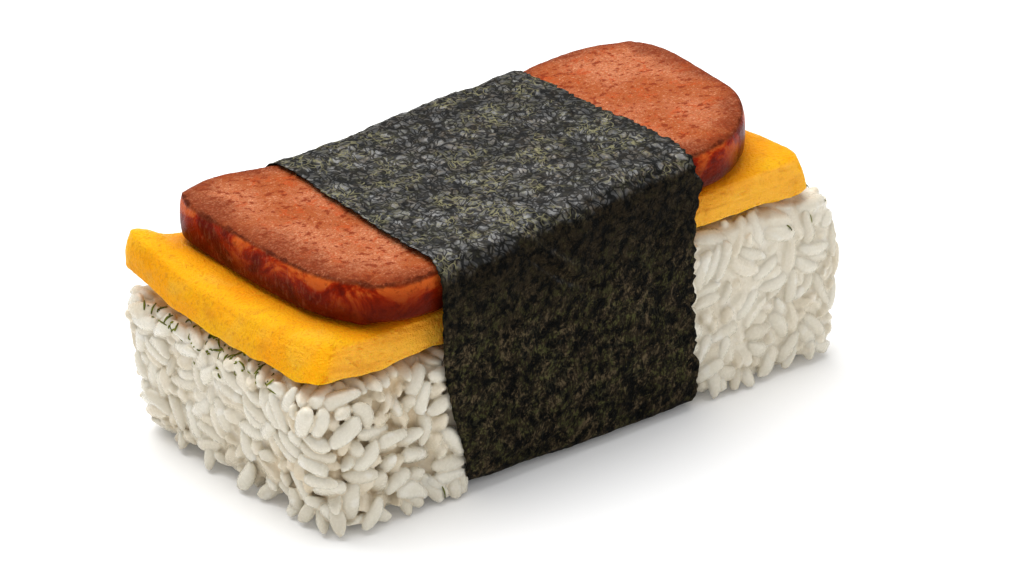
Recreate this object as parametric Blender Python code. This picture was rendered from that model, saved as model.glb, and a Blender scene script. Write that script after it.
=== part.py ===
"""A luncheon meat musubi, modelled as the food is put together.

A pressed block of cooked rice carries a folded omelette and a slice of seared luncheon
meat, and a sheet of nori is wrapped round the middle of the stack. The band pulls the
stack down on one side, so the right end stands a little higher than the left one.

Units are metres with +Z up. +X runs along the block to its higher end and +Y points away
from the front. The last step puts the origin at the middle of the underside.
"""

import math
import random
from dataclasses import dataclass
from typing import Callable

import bmesh
import bpy
from mathutils import Matrix, Vector, noise

MM = 0.001

# Heights of the stack
RICE_HEIGHT = 28.5 * MM
RICE_RISE = 2.0 * MM
RISE_LOSS_TO_BACK = 0.026
BEND_CENTRE = -5.0 * MM
BEND_REFERENCE = 26.0 * MM
EGG_THICKNESS = 7.2 * MM
MEAT_THICKNESS = 8.5 * MM
GAP = 0.3 * MM

# How sharply each surface bends at the band: soft rice most, stiff meat least
RICE_BEND = 22.0 * MM
EGG_BEND = 26.0 * MM
MEAT_BEND = 34.0 * MM
SHARPEST_BEND = 20.0 * MM

# Nori band
BAND_LEFT_FRONT = -34.0 * MM
BAND_LEFT_BACK = -30.5 * MM
BAND_LEFT_FOOT = -28.0 * MM
BAND_RIGHT_FRONT = 19.2 * MM
BAND_RIGHT_BACK = 21.0 * MM
BAND_RIGHT_FOOT = 20.8 * MM
BAND_FOOT = 0.42 * MM
BAND_THICKNESS = 0.32 * MM
BAND_CRINKLE = 0.5 * MM
BAND_OVER_MEAT = 0.85 * MM
BAND_SQUEEZE = 2.0 * MM
BAND_RAGGED = 0.5 * MM
BAND_COLUMNS = 11
BAND_ROWS = 42
HALF_DEPTH = 27.0 * MM

# Rice
GRAIN_LENGTH = 6.5 * MM
GRAIN_WIDTH = 2.5 * MM
GRAIN_PROUD = 1.15 * MM
GRAIN_COUNT = 285
GRAIN_TRIALS = 24
LEANING_SHARE = 0.16
GRAIN_LIFT = 0.35 * MM
BASE_TRIM = 0.07 * MM
SHORTEST_EDGE = 0.03 * MM
RICE_FILLET = 1.6 * MM
RICE_END_SWELL = 2.4 * MM
BAND_RECESS = 1.1 * MM
RICE_FACES_KEPT = 0.54

# Herb flakes on the rice just below the omelette
FLAKE_COUNT = 22
FLAKE_SIZE = (2.2 * MM, 0.9 * MM, 0.7 * MM)
FLAKE_BELOW_EGG = 3.4 * MM

EGG_FILLET = 1.9 * MM
EGG_CURL = 4.2 * MM
EGG_CURL_BELOW = 0.75
EGG_LAYER = 0.25 * MM
MEAT_FILLET = 1.3 * MM
MEAT_PINCH_BACK = 3.4 * MM
MEAT_PINCH_FRONT = 0.8 * MM

EDGE_STEEPNESS = 16
SEED = 11


@dataclass(frozen=True)
class Outline:
    """A four-cornered outline seen from above, in millimetres.

    Corners run front left, front right, back right, back left. Each has a rounding
    given as its reach along X and along Y.
    """

    corners: tuple
    rounding: tuple


@dataclass(frozen=True)
class Slab:
    """A thick layer between two heights whose outline changes from its foot to its top."""

    foot: Outline
    top: Outline
    low: Callable
    high: Callable
    fillet: float
    cells: tuple


RICE_FOOT = Outline(
    corners=((-55.2, -27.8), (53.8, -28.4), (54.0, 27.0), (-56.0, 27.6)),
    rounding=((4, 4), (4, 4), (6, 6), (6, 6)),
)
RICE_TOP = Outline(
    corners=((-60.0, -27.8), (53.2, -27.8), (53.4, 27.4), (-60.2, 27.8)),
    rounding=((5, 5), (4, 4), (6, 6), (6, 6)),
)
EGG_FOOT = Outline(
    corners=((-58.2, -26.2), (49.0, -26.8), (49.6, 26.0), (-59.4, 26.4)),
    rounding=((5, 5), (4, 4), (4, 4), (5, 5)),
)
EGG_TOP = Outline(
    corners=((-54.6, -24.6), (47.4, -25.2), (48.4, 24.4), (-59.0, 25.6)),
    rounding=((6, 5), (4, 4), (4, 4), (5, 5)),
)
MEAT_OUTLINE = Outline(
    corners=((-50.6, -28.0), (42.2, -28.0), (49.8, 21.8), (-50.8, 24.8)),
    rounding=((16, 18), (24, 23), (12, 12), (9, 8)),
)


def clear_scene():
    """Removes every object of the scene."""
    for item in list(bpy.data.objects):
        bpy.data.objects.remove(item, do_unlink=True)


def new_material(name, colour, roughness):
    """Makes a plain finish in a part's main colour."""
    material = bpy.data.materials.new(name)
    material.use_nodes = True
    shader = material.node_tree.nodes["Principled BSDF"]
    shader.inputs["Base Color"].default_value = (*colour, 1.0)
    shader.inputs["Roughness"].default_value = roughness
    shader.inputs["Metallic"].default_value = 0.0
    material.diffuse_color = (*colour, 1.0)
    return material


def add_object(name, shape, material, collection=None):
    """Turns a bmesh into an object with one material and frees the bmesh."""
    mesh = bpy.data.meshes.new(name)
    shape.to_mesh(mesh)
    shape.free()
    mesh.materials.append(material)
    item = bpy.data.objects.new(name, mesh)
    (collection or bpy.context.scene.collection).objects.link(item)
    return item


def mix(start, end, share):
    """Goes from start to end as share goes from 0 to 1."""
    return start + (end - start) * share


def ease(value):
    """Rises smoothly from 0 to 1 as value goes from 0 to 1."""
    value = min(max(value, 0.0), 1.0)
    return value * value * (3.0 - 2.0 * value)


def stack_height(x, y, bend):
    """The height of the rice under a layer that bends as sharply as given."""
    match = math.tanh(BEND_REFERENCE / SHARPEST_BEND) / math.tanh(BEND_REFERENCE / bend)
    rise = (RICE_RISE - RISE_LOSS_TO_BACK * y) * match
    return RICE_HEIGHT + rise * math.tanh((x - BEND_CENTRE) / bend)


def in_band(x, clear, soft):
    """1 up to a clear distance past the nori band's edges, fading to 0 over a soft one."""
    left = ease((x - BAND_LEFT_FRONT + clear + soft) / soft)
    right = ease((BAND_RIGHT_BACK + clear + soft - x) / soft)
    return min(left, right)


def rice_low(x, y):
    """The underside of the rice, lifted where the nori passes under it."""
    return BAND_RECESS * in_band(x, 2.5 * MM, 3.0 * MM)


def rice_high(x, y):
    """The top of the rice."""
    return stack_height(x, y, RICE_BEND)


def egg_curl(x, y):
    """How far the omelette's far left corner curls up."""
    return EGG_CURL * ease((-x - 48.0 * MM) / (9.0 * MM)) * ease((y - 3.0 * MM) / (20.0 * MM))


def egg_low(x, y):
    """The underside of the omelette."""
    return rice_high(x, y) + GAP + EGG_CURL_BELOW * egg_curl(x, y)


def egg_high(x, y):
    """The top of the omelette."""
    return stack_height(x, y, EGG_BEND) + EGG_THICKNESS + egg_curl(x, y)


def meat_low(x, y):
    """The underside of the meat."""
    return egg_high(x, y) + GAP


def meat_high(x, y):
    """The top of the meat."""
    return stack_height(x, y, MEAT_BEND) + EGG_THICKNESS + MEAT_THICKNESS


def outline_point(outline, u, v):
    """The point of an outline that belongs to a point on the edge of the unit square."""
    front_left, front_right, back_right, back_left = outline.corners
    half_length = (front_right[0] + back_right[0] - front_left[0] - back_left[0]) / 4
    half_depth = (back_left[1] + back_right[1] - front_left[1] - front_right[1]) / 4
    corner = (0 if u < 0 else 1) if v < 0 else (3 if u < 0 else 2)
    round_u = outline.rounding[corner][0] / half_length
    round_v = outline.rounding[corner][1] / half_depth
    over_u = (abs(u) - 1 + round_u) / round_u
    over_v = (abs(v) - 1 + round_v) / round_v
    if over_u > 0 and over_v > 0:
        over = math.hypot(over_u, over_v)
        u = math.copysign(1 - round_u + round_u * over_u / over, u)
        v = math.copysign(1 - round_v + round_v * over_v / over, v)
    front = Vector(front_left).lerp(Vector(front_right), (u + 1) / 2)
    back = Vector(back_left).lerp(Vector(back_right), (u + 1) / 2)
    return front.lerp(back, (v + 1) / 2) * MM


def grid_box(columns, rows, layers):
    """A cube from -1 to 1 whose faces are split into a regular grid."""
    shape = bmesh.new()
    bmesh.ops.create_cube(shape, size=2.0)
    for axis, cells in enumerate((columns, rows, layers)):
        along = [e for e in shape.edges if abs((e.verts[0].co - e.verts[1].co)[axis]) > 1e-6]
        bmesh.ops.subdivide_edges(shape, edges=along, cuts=cells - 1, use_grid_fill=True)
    return shape


def edge_normal(edge_u, edge_v):
    """The direction that faces away from an outline at a point of the unit square's edge."""
    steep_u = math.copysign(abs(edge_u) ** EDGE_STEEPNESS, edge_u)
    steep_v = math.copysign(abs(edge_v) ** EDGE_STEEPNESS, edge_v)
    return Vector((steep_u, steep_v)).normalized()


def crowd(value):
    """Moves grid lines towards the rim, where the shape turns."""
    return math.copysign(1 - (1 - abs(value)) ** 1.35, value)


def fillet_offsets(from_rim, from_edge, radius):
    """How far a rounded edge draws a point in and down.

    from_rim is the point's distance from the rim on the flat face and from_edge its
    distance from the edge on the side. One of the two is zero.
    """
    if from_rim >= radius or from_edge >= radius:
        return from_rim, from_edge
    turn = math.pi / 4 * (1 - from_rim / radius + from_edge / radius)
    return radius * (1 - math.sin(turn)), radius * (1 - math.cos(turn))


def slab_shape(slab, shift=None):
    """Builds a slab and optionally shifts its rim.

    shift takes a point of the rim, the direction facing away from it and its share of
    the height, and returns how far the rim moves that way. Inner points follow it less.
    """
    shape = grid_box(*slab.cells)
    for vert in shape.verts:
        u, v, w = crowd(vert.co.x), crowd(vert.co.y), vert.co.z
        share = (w + 1) / 2
        reach = max(abs(u), abs(v))
        edge_u, edge_v = (u / reach, v / reach) if reach > 1e-9 else (1.0, 0.0)
        rim = outline_point(slab.foot, edge_u, edge_v).lerp(
            outline_point(slab.top, edge_u, edge_v), share)
        outward = edge_normal(edge_u, edge_v)
        from_rim = (1 - reach) * rim.dot(outward)
        from_edge = (1 - abs(w)) / 2 * (slab.high(*rim) - slab.low(*rim))
        inset, drop = fillet_offsets(from_rim, from_edge, slab.fillet)
        place = rim * reach - outward * (inset - from_rim)
        if shift:
            place += outward * shift(rim, outward, share) * reach * reach
        low, high = slab.low(*place), slab.high(*place)
        if drop > from_edge:
            height = high - drop if w > 0 else low + drop
        else:
            height = mix(low, high, share)
        vert.co = (*place, height)
    bmesh.ops.recalc_face_normals(shape, faces=shape.faces)
    return shape


def rice_shift(place, outward, share):
    """Draws the rice in by the height of its grains, and swells its right end."""
    held = in_band(place.x, 0.5 * MM, 3.0 * MM)
    inset = mix(GRAIN_PROUD, BAND_SQUEEZE, held)
    swell = RICE_END_SWELL * math.sin(math.pi * share) * max(outward.x, 0.0)
    lump = 0.35 * MM * noise.noise(Vector((*place, share * 0.03)) / (9.0 * MM))
    return swell - inset + lump * (1 - held)


def egg_shift(place, outward, share):
    """Leaves the folded layers of the omelette showing as low ridges."""
    return EGG_LAYER * math.cos(share * math.tau * 2)


def meat_shift(place, outward, share):
    """Pulls the sides of the slice in where the band holds it."""
    pinch = MEAT_PINCH_BACK if outward.y > 0 else MEAT_PINCH_FRONT
    return -pinch * in_band(place.x, 0.0, 6.0 * MM) * abs(outward.y)


RICE = Slab(RICE_FOOT, RICE_TOP, rice_low, rice_high, RICE_FILLET, (20, 10, 6))
EGG = Slab(EGG_FOOT, EGG_TOP, egg_low, egg_high, EGG_FILLET, (20, 9, 5))
MEAT = Slab(MEAT_OUTLINE, MEAT_OUTLINE, meat_low, meat_high, MEAT_FILLET, (20, 10, 3))


def grain_shape(length, width):
    """A rice grain with few sides, lying along X."""
    shape = bmesh.new()
    bmesh.ops.create_uvsphere(shape, u_segments=5, v_segments=4, radius=0.5)
    turn = Matrix.Rotation(math.pi / 2, 4, "Y")
    size = Matrix.Diagonal((length, width, width * 0.88, 1.0))
    bmesh.ops.transform(shape, matrix=size @ turn, verts=shape.verts)
    return shape


def surface_frame(outward, spin, lean):
    """A turn that lays a piece along a surface, spun on it and leaning out of it."""
    side = outward.orthogonal().normalized()
    along = Matrix.Rotation(spin, 3, outward) @ side
    across = outward.cross(along)
    along = Matrix.Rotation(-lean, 3, across) @ along
    return Matrix((along, across, along.cross(across))).transposed().to_4x4()


def pick_spot(rng, faces, areas):
    """Picks a point on the faces, each as likely as it is large."""
    face = rng.choices(faces, weights=areas)[0]
    first, second = rng.random(), rng.random()
    if first + second > 1:
        first, second = 1 - first, 1 - second
    a, b, c = face[0]
    return a + (b - a) * first + (c - a) * second, face[1]


def open_faces(core):
    """Lists the triangles of the core's sides that the nori leaves bare."""
    core.data.calc_loop_triangles()
    found = []
    for triangle in core.data.loop_triangles:
        points = [core.data.vertices[i].co.copy() for i in triangle.vertices]
        middle = sum(points, Vector()) / 3
        if abs(triangle.normal.z) < 0.8 and in_band(middle.x, 0.0, 1.0 * MM) < 0.5:
            found.append((points, triangle.normal.copy(), triangle.area))
    return found


def grain_fits(item):
    """Tells whether a grain is clear of the floor, the omelette and the band."""
    for corner in item.data.vertices:
        place = item.matrix_world @ corner.co
        if place.z < GRAIN_LIFT or place.z > rice_high(place.x, place.y) - 0.05 * MM:
            return False
        if in_band(place.x, 0.3 * MM, 0.6 * MM) > 0:
            return False
    return True


def spread_grains(core, collection, material):
    """Lays rice grains evenly over the open sides of the core, the largest first."""
    rng = random.Random(SEED)
    faces = open_faces(core)
    areas = [face[2] for face in faces]
    sizes = sorted((rng.uniform(0.86, 1.06) for _ in range(GRAIN_COUNT)), reverse=True)
    placed = []
    for number, size in enumerate(sizes):
        shape = grain_shape(GRAIN_LENGTH * size, GRAIN_WIDTH * mix(1.0, size, 0.5))
        item = add_object(f"grain_{number}", shape, material, collection)
        best, best_gap = None, -1.0
        for _ in range(GRAIN_TRIALS):
            spot, outward = pick_spot(rng, faces, areas)
            leaning = rng.random() < LEANING_SHARE
            lean = rng.uniform(0.35, 0.8) if leaning else rng.uniform(-0.15, 0.15)
            turn = surface_frame(outward, rng.uniform(0, math.pi), lean)
            item.matrix_world = Matrix.Translation(spot - outward * 0.1 * MM) @ turn
            gap = min(((spot - other).length for other in placed), default=1.0)
            if gap > best_gap and grain_fits(item):
                best, best_gap = item.matrix_world.copy(), gap
        if best is None:
            bpy.data.objects.remove(item, do_unlink=True)
            continue
        item.matrix_world = best
        placed.append(best.translation.copy())


def spread_flakes(core, collection, material):
    """Sticks herb flakes to both ends of the rice, just below the omelette."""
    rng = random.Random(SEED + 1)
    faces = []
    for points, outward, area in open_faces(core):
        middle = sum(points, Vector()) / 3
        below = rice_high(middle.x, middle.y) - middle.z
        if abs(outward.x) > 0.5 and below < 2 * FLAKE_BELOW_EGG:
            faces.append((points, outward, area))
    areas = [face[2] * (3.0 if face[1].x < 0 else 1.0) for face in faces]
    count = 0
    while count < FLAKE_COUNT:
        spot, outward = pick_spot(rng, faces, areas)
        below = rice_high(spot.x, spot.y) - spot.z
        if not 0.8 * MM < below < FLAKE_BELOW_EGG + 1.5 * MM:
            continue
        shape = bmesh.new()
        bmesh.ops.create_cube(shape, size=1.0)
        bmesh.ops.scale(shape, vec=FLAKE_SIZE, verts=shape.verts)
        item = add_object(f"flake_{count}", shape, material, collection)
        turn = surface_frame(outward, rng.uniform(0, math.pi), rng.uniform(0.2, 0.6))
        item.matrix_world = Matrix.Translation(spot + outward * 0.4 * GRAIN_PROUD) @ turn
        if grain_fits(item):
            count += 1
        else:
            bpy.data.objects.remove(item, do_unlink=True)


def keep_largest_shell(item):
    """Drops loose scraps and the walls of sealed hollows, which fills them."""
    shape = bmesh.new()
    shape.from_mesh(item.data)
    unseen = set(shape.verts)
    shells = []
    while unseen:
        edge, shell = [unseen.pop()], []
        while edge:
            vert = edge.pop()
            shell.append(vert)
            for link in vert.link_edges:
                other = link.other_vert(vert)
                if other in unseen:
                    unseen.remove(other)
                    edge.append(other)
        shells.append(shell)
    shells.sort(key=len)
    bmesh.ops.delete(shape, geom=[v for shell in shells[:-1] for v in shell], context="VERTS")
    bmesh.ops.triangulate(shape, faces=shape.faces)
    shape.to_mesh(item.data)
    shape.free()


def apply_modifier(item, modifier):
    """Makes what a modifier does part of its object's mesh."""
    with bpy.context.temp_override(object=item, active_object=item):
        bpy.ops.object.modifier_apply(modifier=modifier.name)


def cut_flat_base(item):
    """Closes the shortest edges and trims the underside to one level, so that the block stands flat."""
    shape = bmesh.new()
    shape.from_mesh(item.data)
    bmesh.ops.dissolve_degenerate(shape, dist=SHORTEST_EDGE, edges=shape.edges)
    bmesh.ops.triangulate(shape, faces=shape.faces)
    cut = bmesh.ops.bisect_plane(
        shape, geom=shape.verts[:] + shape.edges[:] + shape.faces[:],
        plane_co=(0.0, 0.0, BASE_TRIM), plane_no=(0.0, 0.0, 1.0), clear_inner=True)
    rim = [piece for piece in cut["geom_cut"] if isinstance(piece, bmesh.types.BMEdge)]
    base = bmesh.ops.edgeloop_fill(shape, edges=rim)["faces"]
    bmesh.ops.triangulate(shape, faces=base)
    bmesh.ops.recalc_face_normals(shape, faces=shape.faces)
    shape.to_mesh(item.data)
    shape.free()


def build_rice():
    """The rice block: a core with the grains and herb flakes that show fused to it."""
    material = new_material("rice", (0.76, 0.74, 0.66), 0.45)
    core = add_object("rice", slab_shape(RICE, rice_shift), material)
    loose = bpy.data.collections.new("loose_rice")
    bpy.context.scene.collection.children.link(loose)
    spread_grains(core, loose, material)
    spread_flakes(core, loose, material)
    bpy.context.view_layer.update()
    fuse = core.modifiers.new("fuse", "BOOLEAN")
    fuse.operation = "UNION"
    fuse.operand_type = "COLLECTION"
    fuse.collection = loose
    fuse.solver = "EXACT"
    apply_modifier(core, fuse)
    for item in list(loose.objects):
        bpy.data.objects.remove(item, do_unlink=True)
    bpy.data.collections.remove(loose)
    keep_largest_shell(core)
    thin = core.modifiers.new("drop_slivers", "DECIMATE")
    thin.ratio = RICE_FACES_KEPT
    apply_modifier(core, thin)
    cut_flat_base(core)
    return core


def build_egg():
    """The folded omelette between the rice and the meat."""
    material = new_material("egg", (0.94, 0.52, 0.04), 0.42)
    return add_object("egg", slab_shape(EGG, egg_shift), material)


def build_meat():
    """The slice of seared luncheon meat on top."""
    material = new_material("meat", (0.56, 0.16, 0.07), 0.34)
    return add_object("meat", slab_shape(MEAT, meat_shift), material)


def rounded_loop(corners, count):
    """Runs evenly spaced points round a polygon whose corners are cut by curves.

    Each corner is its place and how far from it the curve starts.
    """
    dense = []
    for number, (place, trim) in enumerate(corners):
        before = (corners[number - 1][0] - place).normalized()
        after = (corners[(number + 1) % len(corners)][0] - place).normalized()
        for step in range(9):
            share = step / 8
            first = mix(place + before * trim, place, share)
            dense.append(mix(first, mix(place, place + after * trim, share), share))
    dense.append(dense[0])
    lengths = [0.0]
    for start, end in zip(dense, dense[1:]):
        lengths.append(lengths[-1] + (end - start).length)
    points, segment = [], 0
    for number in range(count):
        target = lengths[-1] * number / count
        while lengths[segment + 1] < target:
            segment += 1
        share = (target - lengths[segment]) / (lengths[segment + 1] - lengths[segment])
        points.append(mix(dense[segment], dense[segment + 1], share))
    return points


def band_section(x):
    """The nori's inner face at one place along the block, as points across and up."""
    top_front = meat_high(x, -HALF_DEPTH) + BAND_OVER_MEAT
    top_back = meat_high(x, 20.0 * MM) + BAND_OVER_MEAT
    shoulder = rice_high(x, HALF_DEPTH) + 2.5 * MM
    share = (x - BAND_LEFT_FRONT) / (BAND_RIGHT_BACK - BAND_LEFT_FRONT)
    foot = mix(-27.2 * MM, -27.9 * MM, share)
    corners = (
        (Vector((foot, BAND_FOOT)), 2.0 * MM),
        (Vector((-28.0 * MM, 9.0 * MM)), 4.0 * MM),
        (Vector((-28.5 * MM, top_front)), 1.3 * MM),
        (Vector((21.3 * MM, top_back)), 1.8 * MM),
        (Vector((27.7 * MM, shoulder)), 4.0 * MM),
        (Vector((27.4 * MM, BAND_FOOT)), 2.2 * MM),
    )
    return rounded_loop(corners, BAND_ROWS)


def band_edges(place):
    """Where the band starts and ends along X beside a point of its section."""
    across = (place.x + HALF_DEPTH) / (2 * HALF_DEPTH)
    left = mix(BAND_LEFT_FRONT, BAND_LEFT_BACK, ease(across))
    right = mix(BAND_RIGHT_FRONT, BAND_RIGHT_BACK, ease(across))
    low = ease(1 - place.y / (26.0 * MM))
    left = mix(left, BAND_LEFT_FOOT, low * ease(1 - across * 3))
    right = mix(right, BAND_RIGHT_FOOT, low)
    rag = noise.noise(Vector((place.x, place.y, 0.0)) / (5.0 * MM)) * BAND_RAGGED
    other = noise.noise(Vector((place.x, place.y, 0.1)) / (6.0 * MM)) * BAND_RAGGED
    return left + rag, right + other


def build_nori():
    """The nori: a thin crinkled band round the middle of the stack."""
    shape = bmesh.new()
    rings = []
    for column in range(BAND_COLUMNS + 1):
        share = column / BAND_COLUMNS
        ring = []
        for place in band_section(mix(BAND_LEFT_FRONT, BAND_RIGHT_BACK, share)):
            left, right = band_edges(place)
            x = mix(left, right, share)
            middle = Vector((0.0, 0.45 * RICE_HEIGHT + 8.0 * MM))
            lift = noise.noise(Vector((x, place.x, place.y)) / (7.0 * MM)) + 0.5
            lift = BAND_CRINKLE * max(lift, 0.0) * ease(place.y / (6.0 * MM))
            place = place + (place - middle).normalized() * lift
            ring.append(shape.verts.new((x, place.x, place.y)))
        rings.append(ring)
    for near, far in zip(rings, rings[1:]):
        for number in range(BAND_ROWS):
            after = (number + 1) % BAND_ROWS
            shape.faces.new((near[number], near[after], far[after], far[number]))
    bmesh.ops.triangulate(shape, faces=shape.faces)
    item = add_object("nori", shape, new_material("nori", (0.022, 0.027, 0.02), 0.42))
    wall = item.modifiers.new("thickness", "SOLIDIFY")
    wall.thickness = BAND_THICKNESS
    wall.offset = 1.0
    wall.use_even_offset = True
    return item


def centre_on_floor(items):
    """Moves the meshes so that the origin is at the middle of the underside."""
    bpy.context.view_layer.update()
    corners = []
    graph = bpy.context.evaluated_depsgraph_get()
    for item in items:
        corners += [vert.co.copy() for vert in item.evaluated_get(graph).data.vertices]
    lows = [min(corner[axis] for corner in corners) for axis in range(3)]
    highs = [max(corner[axis] for corner in corners) for axis in range(3)]
    shift = Matrix.Translation((-(lows[0] + highs[0]) / 2, -(lows[1] + highs[1]) / 2, -lows[2]))
    for item in items:
        item.data.transform(shift)


def main():
    """Builds the stack from the rice up and then the band round it."""
    clear_scene()
    items = [build_rice(), build_egg(), build_meat(), build_nori()]
    centre_on_floor(items)


main()
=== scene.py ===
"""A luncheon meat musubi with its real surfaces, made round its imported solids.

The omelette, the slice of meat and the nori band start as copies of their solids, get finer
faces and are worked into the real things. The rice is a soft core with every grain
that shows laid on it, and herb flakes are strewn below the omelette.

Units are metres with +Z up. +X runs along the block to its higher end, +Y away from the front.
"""

import logging
import math
import random
from dataclasses import dataclass
from enum import Enum
from typing import Any, Callable

import bpy
import numpy as np
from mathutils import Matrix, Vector, noise
from mathutils.bvhtree import BVHTree
from mathutils.kdtree import KDTree

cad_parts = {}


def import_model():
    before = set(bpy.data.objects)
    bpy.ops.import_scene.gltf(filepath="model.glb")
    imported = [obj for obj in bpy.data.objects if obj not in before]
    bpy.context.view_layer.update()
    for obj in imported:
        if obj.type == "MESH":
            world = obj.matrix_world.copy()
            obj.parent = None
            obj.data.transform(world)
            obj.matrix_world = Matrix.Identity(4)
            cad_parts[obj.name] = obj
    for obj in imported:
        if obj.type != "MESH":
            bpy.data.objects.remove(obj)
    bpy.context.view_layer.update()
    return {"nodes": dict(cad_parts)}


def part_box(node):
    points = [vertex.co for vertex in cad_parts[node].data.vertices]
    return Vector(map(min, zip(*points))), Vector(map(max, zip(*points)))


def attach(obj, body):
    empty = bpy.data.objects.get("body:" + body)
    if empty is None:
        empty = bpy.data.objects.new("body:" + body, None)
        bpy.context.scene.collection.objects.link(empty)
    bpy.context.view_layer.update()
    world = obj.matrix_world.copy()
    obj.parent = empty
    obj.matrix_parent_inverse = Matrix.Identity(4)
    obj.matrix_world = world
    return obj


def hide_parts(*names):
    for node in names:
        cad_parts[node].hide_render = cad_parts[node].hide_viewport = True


MM = 0.001
NOISE_SEED = 4

log = logging.getLogger("musubi")


class End(Enum):
    """One end of the block, by the way that it points along X."""

    LEFT = -1
    RIGHT = 1


class Wire:
    """A value inside a material, on which plain arithmetic can be written."""

    def __init__(self, paint: "Paint", socket: bpy.types.NodeSocket) -> None:
        """Holds the socket that carries the value."""
        self.paint = paint
        self.socket = socket

    def _maths(self, operation: str, *values: Any) -> "Wire":
        """Adds a Math node.

        Args:
            operation: the Math node's operation.
            values: its inputs, as wires or numbers.

        Returns:
            The node's result.
        """
        return self.paint.node("ShaderNodeMath", dict(enumerate(values)), operation=operation)

    def __add__(self, other: Any) -> "Wire":
        """Sum."""
        return self._maths("ADD", self, other)

    def __radd__(self, other: Any) -> "Wire":
        """Sum with the wire on the right."""
        return self._maths("ADD", other, self)

    def __sub__(self, other: Any) -> "Wire":
        """Difference."""
        return self._maths("SUBTRACT", self, other)

    def __rsub__(self, other: Any) -> "Wire":
        """Difference with the wire on the right."""
        return self._maths("SUBTRACT", other, self)

    def __mul__(self, other: Any) -> "Wire":
        """Product."""
        return self._maths("MULTIPLY", self, other)

    def __rmul__(self, other: Any) -> "Wire":
        """Product with the wire on the right."""
        return self._maths("MULTIPLY", other, self)

    def __pow__(self, other: Any) -> "Wire":
        """Power."""
        return self._maths("POWER", self, other)

    def __abs__(self) -> "Wire":
        """The value without its sign."""
        return self._maths("ABSOLUTE", self)

    def clamp(self) -> "Wire":
        """The value held between 0 and 1."""
        return self.paint.node("ShaderNodeClamp", {0: self})

    def rise(self, low: float, high: float) -> "Wire":
        """Goes smoothly from 0 to 1 as the value goes from low to high.

        Args:
            low: the value that gives 0.
            high: the value that gives 1.

        Returns:
            The eased value.
        """
        return self.paint.node(
            "ShaderNodeMapRange", {0: self, 1: low, 2: high}, interpolation_type="SMOOTHSTEP")


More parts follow.
